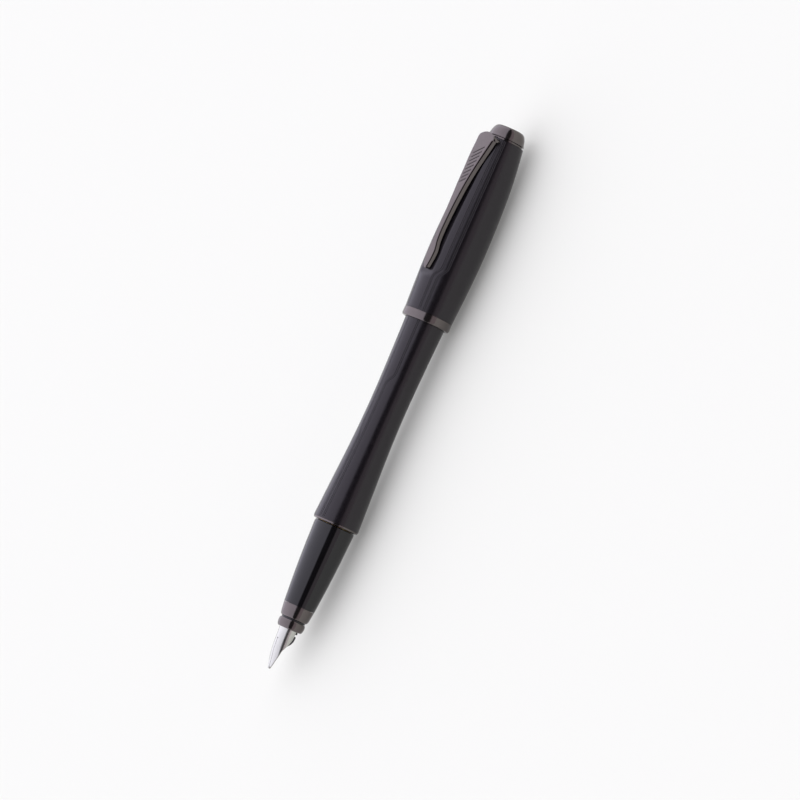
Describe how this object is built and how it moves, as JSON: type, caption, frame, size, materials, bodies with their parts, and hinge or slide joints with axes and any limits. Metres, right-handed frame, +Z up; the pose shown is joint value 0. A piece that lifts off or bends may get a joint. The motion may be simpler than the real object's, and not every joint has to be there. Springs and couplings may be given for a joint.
{
  "type": "fountain pen",
  "caption": "Converter-filled fountain pen with a metal barrel and its clip cap posted on the back, lying on its side with the nib open.",
  "frame": {"origin": "the middle of the pen's length and width, on the surface it lies on", "axes": "+X along the pen from the nib to the crown, +Z up to the clip and the top of the nib"},
  "size_m": [0.15, 0.014, 0.0153],
  "materials": {
    "black_lacquer": "satin black lacquer over brass, with fine engraved lines",
    "gloss_black": "polished black grip",
    "gunmetal_trim": "smoked gunmetal plating, satin polish",
    "nib_steel": "polished stainless steel",
    "feed_black": "moulded black plastic",
    "liner_black": "moulded black plastic",
    "brass_insert": "turned brass",
    "clear_plastic": "clear moulded plastic",
    "converter_steel": "bright plated steel",
    "seal_rubber": "soft black seal"
  },
  "bodies": {
    "section": {"grip_section": "gloss_black", "front_band": "gunmetal_trim", "nose_ring": "gunmetal_trim", "nib": "nib_steel", "feed": "feed_black", "feed_housing": "feed_black", "section_coupling": "brass_insert"},
    "barrel": {"barrel_shell": "black_lacquer", "barrel_mouth_ring": "gunmetal_trim", "barrel_thread_bush": "brass_insert", "barrel_end_plug": "gunmetal_trim"},
    "cap": {"cap_shell": "black_lacquer", "cap_lip_band": "gunmetal_trim", "inner_cap": "liner_black", "crown": "gunmetal_trim", "crown_screw": "converter_steel", "clip_ring": "gunmetal_trim"},
    "clip": {"clip_blade": "gunmetal_trim"},
    "converter": {"converter_tube": "clear_plastic", "converter_sleeve": "converter_steel", "converter_guide": "feed_black"},
    "converter_knob": {"converter_knob": "feed_black"},
    "piston": {"piston_seal": "seal_rubber", "piston_rod": "feed_black"}
  },
  "joints": [
    {"name": "barrel_slide", "type": "slide", "parent": "section", "child": "barrel", "axis": [1, 0, 0], "range_m": [0, 0.07]},
    {"name": "cap_slide", "type": "slide", "parent": "barrel", "child": "cap", "axis": [1, 0, 0], "range_m": [0, 0.04]},
    {"name": "clip_flex", "type": "hinge", "parent": "cap", "child": "clip", "pos_m": [0.07157, 0, 0.01235], "axis": [0, 1, 0], "range_deg": [0, 4], "stiffness_Nm_per_rad": 0.1},
    {"name": "converter_slide", "type": "slide", "parent": "section", "child": "converter", "axis": [1, 0, 0], "range_m": [0, 0.008]},
    {"name": "knob_turn", "type": "hinge", "parent": "converter", "child": "converter_knob", "pos_m": [0.0125, 0, 0.00702], "axis": [1, 0, 0], "range_deg": [-2880, 0]},
    {"name": "piston_slide", "type": "slide", "parent": "converter", "child": "piston", "axis": [1, 0, 0], "range_m": [0, 0.02]}
  ],
  "couplings": [
    {"joint": "knob_turn", "follows": "piston_slide", "rad_per_m": -2513.2}
  ]
}
